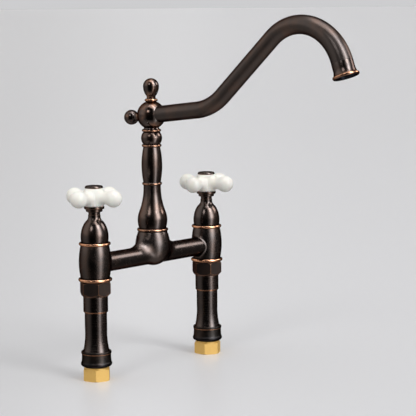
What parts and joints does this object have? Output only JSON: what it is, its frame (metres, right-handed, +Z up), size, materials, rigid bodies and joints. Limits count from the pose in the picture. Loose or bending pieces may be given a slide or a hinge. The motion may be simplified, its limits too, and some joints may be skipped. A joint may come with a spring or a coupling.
{
  "type": "kitchen faucet",
  "caption": "Bridge kitchen faucet with porcelain cross handles on a cast bridge, turned dark bronze column, and a high hooked spout that swivels.",
  "frame": {"origin": "midway between the two inlets, in the plane of the coupling nuts' lower faces", "axes": "+Z up, +X from the hot inlet to the cold one along the bridge, -Y towards the user, where the spout reaches at rest"},
  "size_m": [0.2808, 0.3458, 0.4295],
  "materials": {
    "dark_bronze": "oil-rubbed bronze, satin, rubbed back to copper on the rings and rims",
    "polished_brass": "polished brass",
    "plain_brass": "machined brass",
    "porcelain": "glossy warm white glaze",
    "disc_ceramic": "lapped alumina",
    "black_rubber": "moulded rubber",
    "fibre": "red vulcanised fibre",
    "steel": "stainless steel",
    "grey_plastic": "moulded plastic"
  },
  "bodies": {
    "bridge": {"bridge_body": "dark_bronze", "spout_retaining_screw": "steel", "hot_inlet_washer": "black_rubber", "hot_supply_tube": "plain_brass", "hot_base_flange": "dark_bronze", "hot_leg_column": "dark_bronze", "hot_leg_collar": "dark_bronze", "hot_union_nut": "dark_bronze", "hot_union_washer": "fibre", "hot_seat_seal": "black_rubber", "hot_fixed_disc": "disc_ceramic", "hot_cartridge_body": "plain_brass", "hot_cartridge_ring": "black_rubber", "hot_lock_nut": "plain_brass", "hot_bonnet": "dark_bronze", "cold_inlet_washer": "black_rubber", "cold_supply_tube": "plain_brass", "cold_base_flange": "dark_bronze", "cold_leg_column": "dark_bronze", "cold_leg_collar": "dark_bronze", "cold_union_nut": "dark_bronze", "cold_union_washer": "fibre", "cold_seat_seal": "black_rubber", "cold_fixed_disc": "disc_ceramic", "cold_cartridge_body": "plain_brass", "cold_cartridge_ring": "black_rubber", "cold_lock_nut": "plain_brass", "cold_bonnet": "dark_bronze"},
    "hot_handle": {"hot_moving_disc": "disc_ceramic", "hot_spindle": "plain_brass", "hot_spindle_ring": "black_rubber", "hot_handle_base": "dark_bronze", "hot_cross_handle": "porcelain", "hot_handle_screw": "steel", "hot_index_cap": "dark_bronze"},
    "cold_handle": {"cold_moving_disc": "disc_ceramic", "cold_spindle": "plain_brass", "cold_spindle_ring": "black_rubber", "cold_handle_base": "dark_bronze", "cold_cross_handle": "porcelain", "cold_handle_screw": "steel", "cold_index_cap": "dark_bronze"},
    "hot_coupling": {"hot_coupling_nut": "polished_brass"},
    "cold_coupling": {"cold_coupling_nut": "polished_brass"},
    "spout": {"swivel_spigot": "plain_brass", "spigot_rings": "black_rubber", "spout_column": "dark_bronze", "ball_hub": "dark_bronze", "finial": "dark_bronze", "rear_knob": "dark_bronze", "spout_tube": "dark_bronze", "outlet_shell": "dark_bronze", "aerator_gasket": "black_rubber", "aerator_insert": "grey_plastic", "aerator_screen": "steel"}
  },
  "joints": [
    {"name": "spout_swivel", "type": "hinge", "parent": "bridge", "child": "spout", "pos_m": [0, 0, 0.17], "axis": [0, 0, 1], "continuous": true},
    {"name": "hot_handle_turn", "type": "hinge", "parent": "bridge", "child": "hot_handle", "pos_m": [-0.1016, 0, 0.2], "axis": [0, 0, 1], "range_deg": [0, 90]},
    {"name": "cold_handle_turn", "type": "hinge", "parent": "bridge", "child": "cold_handle", "pos_m": [0.1016, 0, 0.2], "axis": [0, 0, 1], "range_deg": [-90, 0]},
    {"name": "hot_coupling_turn", "type": "hinge", "parent": "bridge", "child": "hot_coupling", "pos_m": [-0.1016, 0, 0.01], "axis": [0, 0, 1], "continuous": true},
    {"name": "cold_coupling_turn", "type": "hinge", "parent": "bridge", "child": "cold_coupling", "pos_m": [0.1016, 0, 0.01], "axis": [0, 0, 1], "continuous": true}
  ]
}
